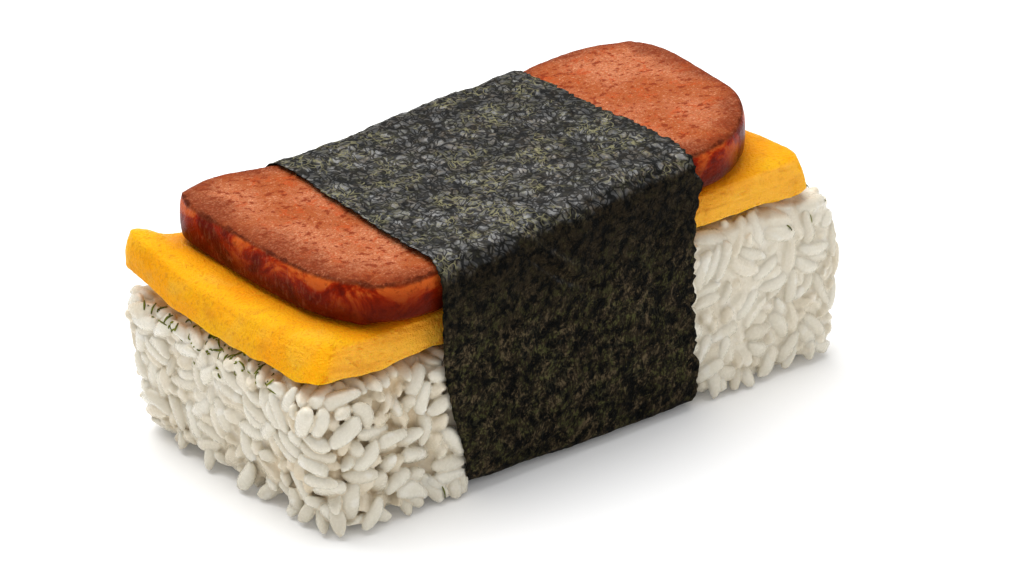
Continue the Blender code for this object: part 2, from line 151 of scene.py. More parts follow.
class Paint:
    """A material under construction."""

    def __init__(self, name: str) -> None:
        """Starts a material with nothing but its shader."""
        self.material = bpy.data.materials.new(name)
        self.material.use_nodes = True
        self.tree = self.material.node_tree
        self.shader = self.tree.nodes["Principled BSDF"]
        self.place = self.node("ShaderNodeTexCoord", output="Object")

    def node(self, kind: str, inputs: dict | None = None, output: Any = 0,
             stops: tuple = (), **settings: Any) -> Wire:
        """Adds a node, with its settings first and then its inputs.

        Args:
            kind: the node's type.
            inputs: values or wires by socket name or number.
            output: the name or number of the socket to return.
            stops: a ramp's stops, as places and colours.
            settings: the node's own settings.

        Returns:
            The chosen output.
        """
        made = self.tree.nodes.new(kind)
        for name, value in settings.items():
            setattr(made, name, value)
        if stops:
            ramp = made.color_ramp.elements
            while len(ramp) < len(stops):
                ramp.new(1.0)
            for stop, (place, colour) in zip(ramp, stops):
                stop.position = place
                stop.color = (*colour, 1.0)
        for key, value in (inputs or {}).items():
            self.feed(made.inputs[key], value)
        return Wire(self, made.outputs[output])

    def feed(self, socket: bpy.types.NodeSocket, value: Any) -> None:
        """Links a wire to a socket or sets the socket's value.

        Args:
            socket: the input to feed.
            value: a wire, a number, a colour or a vector.
        """
        if isinstance(value, Wire):
            self.tree.links.new(value.socket, socket)
        elif hasattr(socket.default_value, "__len__") and socket.type == "RGBA":
            socket.default_value = (*value[:3], 1.0)
        else:
            socket.default_value = value

    def stretched(self, scale: tuple, vector: Wire | None = None) -> Wire:
        """Coordinates stretched by a factor along each axis."""
        return self.node("ShaderNodeMapping", {"Vector": vector or self.place, "Scale": scale})

    def swirled(self, size: float, reach: float) -> Wire:
        """Object coordinates that are moved about.

        Args:
            size: the size of the swirls in metres.
            reach: how far they move things.

        Returns:
            The coordinates.
        """
        inputs = {"Vector": self.place, "Scale": 1.0 / size, "Detail": 1.0}
        way = self.node("ShaderNodeTexNoise", inputs, output="Color")
        return self.node("ShaderNodeVectorMath", {0: way, 1: (reach,) * 3, 2: self.place},
                         operation="MULTIPLY_ADD")

    def grain(self, size: float, detail: float = 3.0, rough: float = 0.5,
              warp: float = 0.0, vector: Wire | None = None) -> Wire:
        """Soft noise with features of about a given size.

        Args:
            size: the features' size in metres.
            detail: how many finer octaves it has.
            rough: how strong the finer ones are.
            warp: how far it is distorted.
            vector: other coordinates than the object's.

        Returns:
            A value of about 0.5 with swings to both sides.
        """
        inputs = {"Vector": vector or self.place, "Scale": 1.0 / size, "Detail": detail,
                  "Roughness": rough, "Distortion": warp}
        return self.node("ShaderNodeTexNoise", inputs)

    def lines(self, size: float, width: float, share: float, vector: Wire) -> Wire:
        """Thin broken lines, as of creases or fibres.

        Args:
            size: how far apart they are in metres.
            width: their width as a share of that.
            share: how much of them is left out, around 0.5 for half.
            vector: the coordinates.

        Returns:
            1 on a line and 0 elsewhere.
        """
        inputs = {"Vector": vector, "Scale": 1.0 / size}
        edge = self.node("ShaderNodeTexVoronoi", inputs, output="Distance",
                         feature="DISTANCE_TO_EDGE")
        gaps = self.grain(size * 1.3, detail=2.0, vector=vector)
        return edge.rise(width, width * 0.3) * gaps.rise(share - 0.04, share + 0.04)

    def mark(self, name: str) -> Wire:
        """A value that the mesh carries under a name."""
        return self.node("ShaderNodeAttribute", output="Fac", attribute_name=name)

    def up(self) -> Wire:
        """How far the surface faces up, from -1 to 1."""
        normal = self.node("ShaderNodeTexCoord", output="Normal")
        return self.node("ShaderNodeSeparateXYZ", {0: normal}, output="Z")

    def level(self, low: float, high: float) -> Wire:
        """Goes from 0 to 1 as the surface goes from one height to another."""
        height = self.node("ShaderNodeSeparateXYZ", {0: self.place}, output="Z")
        return height.rise(low, high)

    def blend(self, share: Any, first: Any, second: Any, mode: str = "MIX") -> Wire:
        """Mixes two colours.

        Args:
            share: how much of the second one shows.
            first: the first colour.
            second: the second colour.
            mode: how they are mixed.

        Returns:
            The mixed colour.
        """
        return self.node("ShaderNodeMix", {0: share, 6: first, 7: second}, output=2,
                         data_type="RGBA", blend_type=mode)

    def bump(self, height: Wire, depth: float, under: Wire | None = None) -> Wire:
        """A normal that follows a height.

        Args:
            height: the height, from 0 to 1.
            depth: what 1 stands for, in metres.
            under: a normal that this one is laid on.

        Returns:
            The bumped normal.
        """
        inputs = {"Height": height, "Distance": depth, "Strength": 1.0}
        if under:
            inputs["Normal"] = under
        return self.node("ShaderNodeBump", inputs)

    def finish(self, **inputs: Any) -> bpy.types.Material:
        """Feeds the shader and gives the material.

        Args:
            inputs: the shader's inputs, with underscores for spaces.

        Returns:
            The finished material.
        """
        for name, value in inputs.items():
            self.feed(self.shader.inputs[name.replace("_", " ")], value)
        return self.material


class Bench:
    """The hand tools. Each works on one object, with all others deselected."""

    @staticmethod
    def take(item: bpy.types.Object) -> None:
        """Selects one object alone and makes it active."""
        bpy.ops.object.select_all(action="DESELECT")
        item.select_set(True)
        bpy.context.view_layer.objects.active = item

    @staticmethod
    def copy_of(node: bpy.types.Object, name: str) -> bpy.types.Object:
        """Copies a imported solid, joins its loose triangles and pairs them into quads.

        Args:
            node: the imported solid.
            name: the new piece's name.

        Returns:
            The copy, with nothing of the solid's own on it.
        """
        Bench.take(node)
        bpy.ops.object.duplicate()
        item = bpy.context.active_object
        item.name = item.data.name = name
        item.parent = None
        for key in list(item.keys()):
            del item[key]
        item.data.materials.clear()
        bpy.ops.mesh.customdata_custom_splitnormals_clear()
        bpy.ops.object.mode_set(mode="EDIT")
        bpy.ops.mesh.select_all(action="SELECT")
        bpy.ops.mesh.remove_doubles(threshold=0.01 * MM)
        bpy.ops.mesh.tris_convert_to_quads(face_threshold=1.2, shape_threshold=1.2)
        bpy.ops.object.mode_set(mode="OBJECT")
        return item

    @staticmethod
    def modify(item: bpy.types.Object, kind: str, **settings: Any) -> None:
        """Puts a modifier on a piece and applies it.

        Args:
            item: the piece.
            kind: the modifier's type.
            settings: the modifier's settings.
        """
        Bench.take(item)
        modifier = item.modifiers.new(kind.lower(), kind)
        for name, value in settings.items():
            setattr(modifier, name, value)
        bpy.ops.object.modifier_apply(modifier=modifier.name)

    @staticmethod
    def refine(item: bpy.types.Object, levels: int) -> None:
        """Splits a piece's faces into a smooth finer mesh."""
        Bench.modify(item, "SUBSURF", levels=levels, render_levels=levels)

    @staticmethod
    def smooth(item: bpy.types.Object) -> None:
        """Shades a piece smooth."""
        Bench.take(item)
        bpy.ops.object.shade_smooth()

    @staticmethod
    def places(item: bpy.types.Object) -> np.ndarray:
        """The piece's points, one row each."""
        found = np.empty(len(item.data.vertices) * 3)
        item.data.vertices.foreach_get("co", found)
        return found.reshape(-1, 3)

    @staticmethod
    def normals(item: bpy.types.Object) -> np.ndarray:
        """The directions that the piece's points face, one row each."""
        found = np.empty(len(item.data.vertices) * 3, np.float32)
        item.data.vertex_normals.foreach_get("vector", found)
        return found.reshape(-1, 3).astype(float)

    @staticmethod
    def move(item: bpy.types.Object, places: np.ndarray) -> None:
        """Puts the piece's points at new places."""
        item.data.vertices.foreach_set("co", places.ravel())
        item.data.update()

    @staticmethod
    def work(item: bpy.types.Object, depth: Callable[[Vector, Vector], float],
             share: Any = 1.0) -> None:
        """Moves each point of a piece along the direction it faces.

        Args:
            item: the piece.
            depth: takes a point and its direction, and returns the distance.
            share: how much of the distance counts, for all points or for each.
        """
        places, normals = Bench.places(item), Bench.normals(item)
        moved = np.array([depth(Vector(p), Vector(n)) for p, n in zip(places, normals)]) * share
        Bench.move(item, places + normals * moved[:, None])

    @staticmethod
    def mark(item: bpy.types.Object, name: str, values: np.ndarray) -> None:
        """Writes a value for each point under a name that a finish can read."""
        layer = item.data.attributes.new(name, "FLOAT", "POINT")
        layer.data.foreach_set("value", np.asarray(values, np.float32))

    @staticmethod
    def far_from(item: bpy.types.Object, chosen: np.ndarray, reach: float) -> np.ndarray:
        """How far each point is from the nearest of some chosen ones.

        Args:
            item: the piece.
            chosen: true for each chosen point.
            reach: the distance that counts as 1.

        Returns:
            Distances from 0 to 1.
        """
        places = Bench.places(item)
        tree = KDTree(int(chosen.sum()))
        for number in np.flatnonzero(chosen):
            tree.insert(places[number], int(number))
        tree.balance()
        return np.array([min(tree.find(p)[2] / reach, 1.0) for p in places])

    @staticmethod
    def tree(item: bpy.types.Object) -> BVHTree:
        """A search tree of the piece's faces."""
        return BVHTree.FromPolygons([v.co for v in item.data.vertices],
                                    [f.vertices for f in item.data.polygons])

    @staticmethod
    def finished(item: bpy.types.Object, material: bpy.types.Material, slot: str,
                 *stands_for: str) -> bpy.types.Object:
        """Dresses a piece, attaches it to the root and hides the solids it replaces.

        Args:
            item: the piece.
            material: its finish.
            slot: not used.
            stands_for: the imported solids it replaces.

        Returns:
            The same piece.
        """
        item.data.materials.clear()
        item.data.materials.append(material)
        Bench.smooth(item)
        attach(item, "root")
        if stands_for:
            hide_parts(*stands_for)
        log.info("%s: %d faces", item.name, len(item.data.polygons))
        return item


def hill(place: Vector, size: float, octaves: int = 3) -> float:
    """Soft noise from about -1 to 1.

    Args:
        place: the point.
        size: the size of its features.
        octaves: how many finer layers it has.

    Returns:
        The noise at the point.
    """
    return noise.fractal(place / size, 1.0, 2.0, octaves)


def ease(value: float) -> float:
    """Rises smoothly from 0 to 1 as the value does."""
    value = min(max(value, 0.0), 1.0)
    return value * value * (3.0 - 2.0 * value)


@dataclass(frozen=True)
class RiceFinish:
    """Moist cooked rice, slightly see-through, with a warmer painted shade deep between the grains.
    """

    bright: tuple = (0.745, 0.705, 0.60)
    dull: tuple = (0.63, 0.57, 0.45)
    # The colour of the painted shade deep between the grains.
    deep: tuple = (0.70, 0.51, 0.27)
    chalk: tuple = (0.81, 0.785, 0.72)
    roughness: float = 0.24

    def material(self) -> bpy.types.Material:
        """The finish.

        Returns:
            The material.
        """
        paint = Paint("cooked_rice")
        cloud = paint.grain(1.8 * MM, detail=2.0)
        tone = (paint.mark("tone") * 0.75 + cloud * 0.5 - 0.05).clamp()
        colour = paint.blend(tone, self.dull, self.bright)
        chalky = paint.grain(3.0 * MM, detail=1.0).rise(0.60, 0.72)
        colour = paint.blend(chalky * 0.5, colour, self.chalk)
        # Painted shade: a warmer, darker colour where the surface lies deep between the grains,
        # stronger in broad patches.
        warm = paint.grain(12.0 * MM, detail=2.0).rise(0.45, 0.7)
        colour = paint.blend(paint.mark("depth") * (warm * 0.3 + 0.5), colour, self.deep)
        fine = paint.grain(0.5 * MM, detail=2.0)
        return paint.finish(
            Base_Color=colour, Roughness=fine * 0.3 + (self.roughness - 0.12),
            Normal=paint.bump(fine, 0.05 * MM), IOR=1.42, Subsurface_Weight=0.4,
            Subsurface_Radius=(1.0, 0.93, 0.82), Subsurface_Scale=0.6 * MM)


@dataclass(frozen=True)
class EggFinish:
    """Folded omelette: spongy yellow, browned a little, with layer lines on its cut sides."""

    yellow: tuple = (0.86, 0.44, 0.004)
    deep: tuple = (0.90, 0.37, 0.001)
    bent: tuple = (1.0, 0.44, 0.001)
    pale: tuple = (0.84, 0.45, 0.035)
    sliced: tuple = (1.0, 0.48, 0.042)
    toasted: tuple = (0.62, 0.22, 0.012)
    # The colour of the painted reflection of the meat on the egg.
    painted_meat_reflection: tuple = (1.0, 0.28, 0.002)
    roughness: float = 0.5

    def material(self) -> bpy.types.Material:
        """The finish.

        Returns:
            The material.
        """
        paint = Paint("omelette")
        cut, bend = paint.mark("cut"), paint.mark("bend")
        clouds = paint.grain(11.0 * MM, detail=3.0)
        sponge = paint.grain(0.9 * MM, detail=4.0, rough=0.65)
        colour = paint.blend(clouds.rise(0.38, 0.66), self.deep, self.yellow)
        patches = paint.grain(7.0 * MM, detail=4.0, warp=0.6).rise(0.52, 0.70)
        colour = paint.blend(patches * 0.6, colour, self.pale)
        colour = paint.blend(cut, colour, self.sliced)
        colour = paint.blend(bend * 0.9, colour, self.bent)
        layers = paint.grain(2.4 * MM, detail=5.0, rough=0.65, warp=0.3,
                             vector=paint.stretched((0.35, 0.35, 1.9)))
        calm = 1 - bend * 0.8
        colour = paint.blend(layers.rise(0.48, 0.68) * cut * calm * 0.4, colour, self.toasted)
        tan = paint.grain(5.0 * MM, detail=4.0, warp=0.4).rise(0.54, 0.72)
        colour = paint.blend(tan * calm * 0.4, colour, self.toasted)
        pits = sponge.rise(0.54, 0.68) * calm * (1 - cut * 0.6)
        colour = paint.blend(pits * 0.42, colour, self.toasted)
        bubbles = paint.grain(0.45 * MM, detail=2.0, rough=0.6)
        specks = bubbles.rise(0.46, 0.62) * calm * (1 - cut * 0.8)
        colour = paint.blend(specks * 0.25, colour, self.toasted)
        # Painted reflection: the egg turns red-orange near the meat, standing in for light bounced
        # off the meat.
        colour = paint.blend(paint.mark("near_meat") * 0.8, colour, self.painted_meat_reflection)
        height = sponge + bubbles * 0.8 + layers * cut * 0.6
        return paint.finish(
            Base_Color=colour, Roughness=sponge * 0.35 + (self.roughness - 0.15),
            Normal=paint.bump(height, 0.36 * MM), IOR=1.4, Subsurface_Weight=0.45,
            Subsurface_Radius=(1.0, 0.5, 0.1), Subsurface_Scale=1.8 * MM, Specular_IOR_Level=0.12)


@dataclass(frozen=True)
class MeatFinish:
    """Seared luncheon meat: speckled pink-brown on top, glazed red-brown round the side."""

    pink: tuple = (0.475, 0.160, 0.074)
    brown: tuple = (0.34, 0.078, 0.021)
    pale: tuple = (0.72, 0.33, 0.18)
    spot: tuple = (0.20, 0.024, 0.005)
    singed: tuple = (0.17, 0.028, 0.007)
    dark: tuple = (0.11, 0.005, 0.001)
    red: tuple = (0.30, 0.016, 0.001)
    glow: tuple = (0.66, 0.145, 0.022)
    ember: tuple = (0.46, 0.065, 0.010)
    # The colour of the painted sheen streaks near the ends of the side.
    painted_tip_sheen: tuple = (0.60, 0.26, 0.13)
    # Real char for the rim line, and painted shade towards the underside of the side.
    char_and_shade: tuple = (0.05, 0.005, 0.001)

    def material(self) -> bpy.types.Material:
        """The finish.

        Returns:
            The material.
        """
        paint = Paint("seared_meat")
        wall, from_rim = paint.mark("wall"), paint.mark("from_rim")
        height = self.relief(paint) * (1 - wall * 0.5)
        colour = paint.blend(wall, self.top(paint, from_rim), self.flank(paint))
        ragged = paint.grain(2.2 * MM, detail=5.0, rough=0.7) - 0.5
        broken = paint.grain(5.0 * MM, detail=3.0).rise(0.38, 0.60)
        line = (1 - from_rim * 11.0 + ragged * 3.5).rise(0.3, 1.0) * (broken * 0.7 + 0.3)
        colour = paint.blend(line * (1 - wall * 0.6) * 0.8, colour, self.char_and_shade)
        # Painted highlight: thin pale streaks on the side near both ends, standing in for a wet
        # sheen.
        sheen_streaks = paint.grain(0.6 * MM, detail=3.0, vector=paint.stretched((1, 1, 0.35)))
        sheen_streaks = sheen_streaks.rise(0.54, 0.64) * paint.mark("tip") * wall
        colour = paint.blend(sheen_streaks * 0.08, colour, self.painted_tip_sheen)
        return paint.finish(
            Base_Color=colour, Roughness=height * 0.2 + (0.34 - wall * 0.14),
            Specular_IOR_Level=0.04,
            Normal=paint.bump(height, 0.28 * MM), IOR=1.42, Subsurface_Weight=0.12,
            Subsurface_Radius=(1.0, 0.25, 0.1), Subsurface_Scale=1.2 * MM)

    def relief(self, paint: Paint) -> Wire:
        """The height of the pores and the fine speckle."""
        return paint.grain(1.2 * MM, detail=4.0, rough=0.65) + paint.grain(0.4 * MM) * 0.7

    def top(self, paint: Paint, from_rim: Wire) -> Wire:
        """The seared top: pink, finely speckled, browner towards the rim.

        Args:
            paint: the material.
            from_rim: how far from the rim each point is, from 0 to 1.

        Returns:
            The colour.
        """
        speckle = paint.grain(0.42 * MM, detail=3.0, rough=0.7)
        pores = paint.grain(1.4 * MM, detail=4.0, rough=0.65)
        broad = paint.grain(10.0 * MM, detail=3.0)
        colour = paint.blend(broad.rise(0.34, 0.58), self.brown, self.pink)
        colour = paint.blend(speckle.rise(0.46, 0.56) * 0.62, colour, self.brown)
        colour = paint.blend(speckle.rise(0.46, 0.36) * pores.rise(0.58, 0.40) * 0.6, colour,
                             self.pale)
        blots = paint.grain(3.4 * MM, detail=6.0, rough=0.75, warp=0.5)
        colour = paint.blend(blots.rise(0.53, 0.62) * 0.6, colour, self.ember)
        colour = paint.blend(blots.rise(0.61, 0.70) * 0.7, colour, self.spot)
        colour = paint.blend(pores.rise(0.55, 0.62) * 0.85, colour, self.spot)
        near = (1 - from_rim + (broad - 0.5) * 1.6 + (blots - 0.5) * 0.8).rise(0.2, 0.95)
        return paint.blend(near * (speckle.rise(0.3, 0.6) * 0.35 + 0.6), colour, self.singed)

    def flank(self, paint: Paint) -> Wire:
        """The glazed side: marbled from black to orange, with painted light above and shade below.
        """
        marble = paint.grain(7.0 * MM, detail=4.0, rough=0.6, warp=1.2,
                             vector=paint.stretched((0.8, 0.8, 1.1)))
        colour = paint.blend(marble.rise(0.36, 0.56), self.dark, self.red)
        under = paint.mark("under")
        # Painted light: the orange marbling fades out towards the underside, so the upper side
        # reads lit.
        lit = marble.rise(0.49, 0.64) * (1 - under * 0.9)
        colour = paint.blend(lit * 0.8, colour, self.glow)
        fine = paint.grain(1.3 * MM, detail=4.0, rough=0.7)
        colour = paint.blend(fine.rise(0.52, 0.68) * 0.5, colour, self.dark)
        # Painted shade: the side goes nearly black towards its underside.
        return paint.blend(under.rise(0.15, 0.95) * 0.8, colour, self.char_and_shade)


@dataclass(frozen=True)
class NoriFinish:
    """Toasted seaweed: near-black, satin sheen, olive fibres; painted shade in creases and under
    the fold.
    """

    black: tuple = (0.0020, 0.0021, 0.0018)
    brown: tuple = (0.021, 0.015, 0.008)
    moss: tuple = (0.066, 0.067, 0.023)
    umber: tuple = (0.118, 0.086, 0.048)
    straw: tuple = (0.27, 0.25, 0.135)

    def material(self) -> bpy.types.Material:
        """The finish.

        Returns:
            The material.
        """
        paint = Paint("nori_sheet")
        warped = paint.swirled(5.0 * MM, 3.5 * MM)
        fibre = paint.grain(0.5 * MM, detail=3.0, rough=0.7,
                            vector=paint.stretched((1.0, 0.55, 0.6), warped))
        wrinkle = paint.grain(1.6 * MM, detail=5.0, rough=0.7,
                              vector=paint.stretched((1.0, 0.5, 0.7), warped))
        patch = paint.grain(1.9 * MM, detail=6.0, rough=0.75, warp=0.25)
        field = paint.grain(6.0 * MM, detail=3.0, rough=0.6)
        bent = paint.stretched((1.0, 0.7, 0.8), paint.swirled(2.4 * MM, 3.2 * MM))
        crease = (paint.lines(2.1 * MM, 0.12, 0.28, bent)
                  + paint.lines(1.25 * MM, 0.13, 0.30, bent)).clamp()
        threads = paint.lines(1.2 * MM, 0.08, 0.42, bent) * field.rise(0.46, 0.60)
        top = paint.up().rise(0.15, 0.6)
        # Painted shade: on the sides the flecks fade out from 24 to 39 mm up, so the front stays
        # dark under the fold; 1 on top.
        clear_of_fold_shade = 1 - paint.level(24 * MM, 39 * MM) * (1 - top) * 0.82
        colour = paint.blend(patch.rise(0.42, 0.58), self.black, self.brown)
        fleck = fibre.rise(0.45, 0.60) * patch.rise(0.44, 0.56) * (field.rise(0.3, 0.6) * 0.5 + 0.5)
        hue = paint.grain(4.0 * MM, detail=4.0, rough=0.7).rise(0.44, 0.56)
        dry = paint.blend(hue, self.moss, self.umber)
        colour = paint.blend(fleck * clear_of_fold_shade * 0.95, colour, dry)
        # Painted shade: the creases are darkened to black, more on top.
        colour = paint.blend(crease * (top * 0.5 + 0.25), colour, self.black)
        colour = paint.blend(threads * (top * 0.6 + 0.06) * clear_of_fold_shade, colour, self.straw)
        shine = wrinkle.rise(0.34, 0.58) * 0.5 + 0.5
        shine = shine * (1 - crease * 0.8) * (1 - threads * 0.7)
        height = fibre * 0.6 + wrinkle * 0.9 - crease * 0.5
        return paint.finish(
            Base_Color=colour, Roughness=fibre * 0.3 + 0.4, Specular_IOR_Level=0.03,
            Coat_Weight=top * shine, Coat_Roughness=0.32, Coat_IOR=1.7,
            Normal=paint.bump(height, 0.28 * MM), IOR=1.4)


@dataclass(frozen=True)
class HerbFinish:
    """Dried green herb."""

    dark: tuple = (0.034, 0.044, 0.003)
    light: tuple = (0.16, 0.18, 0.010)

    def material(self) -> bpy.types.Material:
        """The finish.

        Returns:
            The material.
        """
        paint = Paint("herb_flake")
        tone = paint.grain(1.6 * MM, detail=3.0)
        return paint.finish(Base_Color=paint.blend(tone.rise(0.3, 0.6), self.dark, self.light),
                            Roughness=0.6, Specular_IOR_Level=0.15,
                            Normal=paint.bump(tone, 0.05 * MM))


@dataclass
class Omelette:
    """The folded omelette that runs through the stack."""

    node: bpy.types.Object
    meat: BVHTree
    finish: EggFinish = EggFinish()
    swell: float = 0.34 * MM
    droop: float = 0.75 * MM
    layer_pitch: float = 1.7 * MM
    layer_depth: float = 0.13 * MM
    pit_depth: float = 0.20 * MM

    def build(self) -> bpy.types.Object:
        """Shapes the omelette from its solid.

        Returns:
            The piece.
        """
        item = Bench.copy_of(self.node, "omelette")
        Bench.refine(item, 3)
        normals = np.abs(Bench.normals(item))
        bend = np.minimum(normals[:, 0], normals[:, 1]) + np.minimum(normals[:, 2], 0.6) * 0.15
        Bench.mark(item, "cut", np.clip((normals[:, 1] - 0.55) / 0.35, 0.0, 1.0))
        Bench.mark(item, "bend", np.clip((bend - 0.18) / 0.35, 0.0, 1.0))
        # How near the meat each point lies, for the painted reflection of the meat on the egg.
        gaps = np.array([self.meat.find_nearest(place)[3] for place in Bench.places(item)])
        Bench.mark(item, "near_meat", np.clip(1.0 - gaps / (4.5 * MM), 0.0, 1.0))
        self.sag(item)
        Bench.work(item, self.soft)
        Bench.work(item, self.fine)
        return Bench.finished(item, self.finish.material(), "egg", "egg")

    def sag(self, item: bpy.types.Object) -> None:
        """Lets the lower edge hang unevenly where nothing is over it."""
        places = Bench.places(item)
        for number, place in enumerate(places):
            spot = Vector(place)
            end = ease((abs(place[0]) - 46 * MM) / (8 * MM))
            rim = max(end, ease((abs(place[1]) - 22 * MM) / (4 * MM)))
            ground = 26.5 * MM + 0.058 * (place[0] + 55 * MM)
            low = ease(1 - (place[2] - ground) / (5 * MM))
            places[number, 2] += self.droop * rim * low * (hill(spot, 7 * MM, 2) - 0.15)
        Bench.move(item, places)

    def soft(self, place: Vector, normal: Vector) -> float:
        """The broad swells and dents.

        Args:
            place: a point of the piece.
            normal: the direction it faces.

        Returns:
            How far it moves out.
        """
        return self.swell * hill(place, 9.0 * MM, 2) - 0.1 * MM

    def fine(self, place: Vector, normal: Vector) -> float:
        """The sponge, its pits, and the folded layers on the cut sides.

        Args:
            place: a point of the piece.
            normal: the direction it faces.

        Returns:
            How far it moves out.
        """
        cut = ease((abs(normal.y) - 0.5) / 0.3)
        wander = 1.1 * hill(Vector((place.x, place.y, 0.0)), 14.0 * MM, 2)
        wave = math.sin(math.tau * place.z / self.layer_pitch + wander * 3.0)
        line = -self.layer_depth * max(wave, 0.0) ** 3 * (0.5 + 0.5 * hill(place, 5.0 * MM, 1))
        pit = -self.pit_depth * ease((hill(place, 1.5 * MM, 2) - 0.35) / 0.3)
        return cut * line + pit * (0.6 + cut) + 0.07 * MM * hill(place, 1.4 * MM, 2)


@dataclass
class MeatSlice:
    """The seared slice of luncheon meat."""

    node: bpy.types.Object
    finish: MeatFinish = MeatFinish()
    pore: float = 0.07 * MM
    streak: float = 0.12 * MM

    def build(self) -> bpy.types.Object:
        """Shapes the slice from its solid.

        Returns:
            The piece.
        """
        item = Bench.copy_of(self.node, "meat_slice")
        Bench.refine(item, 3)
        normals = Bench.normals(item)
        rim = (normals[:, 2] > 0.6) & (normals[:, 2] < 0.85)
        foot = (normals[:, 2] < -0.35) & (normals[:, 2] > -0.8)
        Bench.mark(item, "from_rim", Bench.far_from(item, rim, 8.0 * MM))
        # Near the underside, where the side gets painted shade.
        Bench.mark(item, "under", 1.0 - Bench.far_from(item, foot, 7.0 * MM))
        Bench.mark(item, "wall", np.clip((0.75 - normals[:, 2]) / 0.3, 0.0, 1.0))
        # Near both ends, where the side gets painted sheen streaks.
        tip = (np.abs(Bench.places(item)[:, 0]) - 45 * MM) / (3 * MM)
        Bench.mark(item, "tip", np.clip(tip, 0.0, 1.0))
        Bench.work(item, self.surface)
        return Bench.finished(item, self.finish.material(), "meat", "meat")

    def surface(self, place: Vector, normal: Vector) -> float:
        """The pores of the flat faces and the streaks of the side.

        Args:
            place: a point of the slice.
            normal: the direction it faces.

        Returns:
            How far it moves out.
        """
        wall = ease((0.8 - abs(normal.z)) / 0.5)
        streak = self.streak * hill(place, 3.0 * MM, 3) + 0.28 * MM * hill(place, 8.0 * MM, 1)
        pores = self.pore * hill(place, 1.3 * MM, 3) + 0.15 * MM * hill(place, 9.0 * MM, 2)
        return pores * (1 - wall) + streak * wall


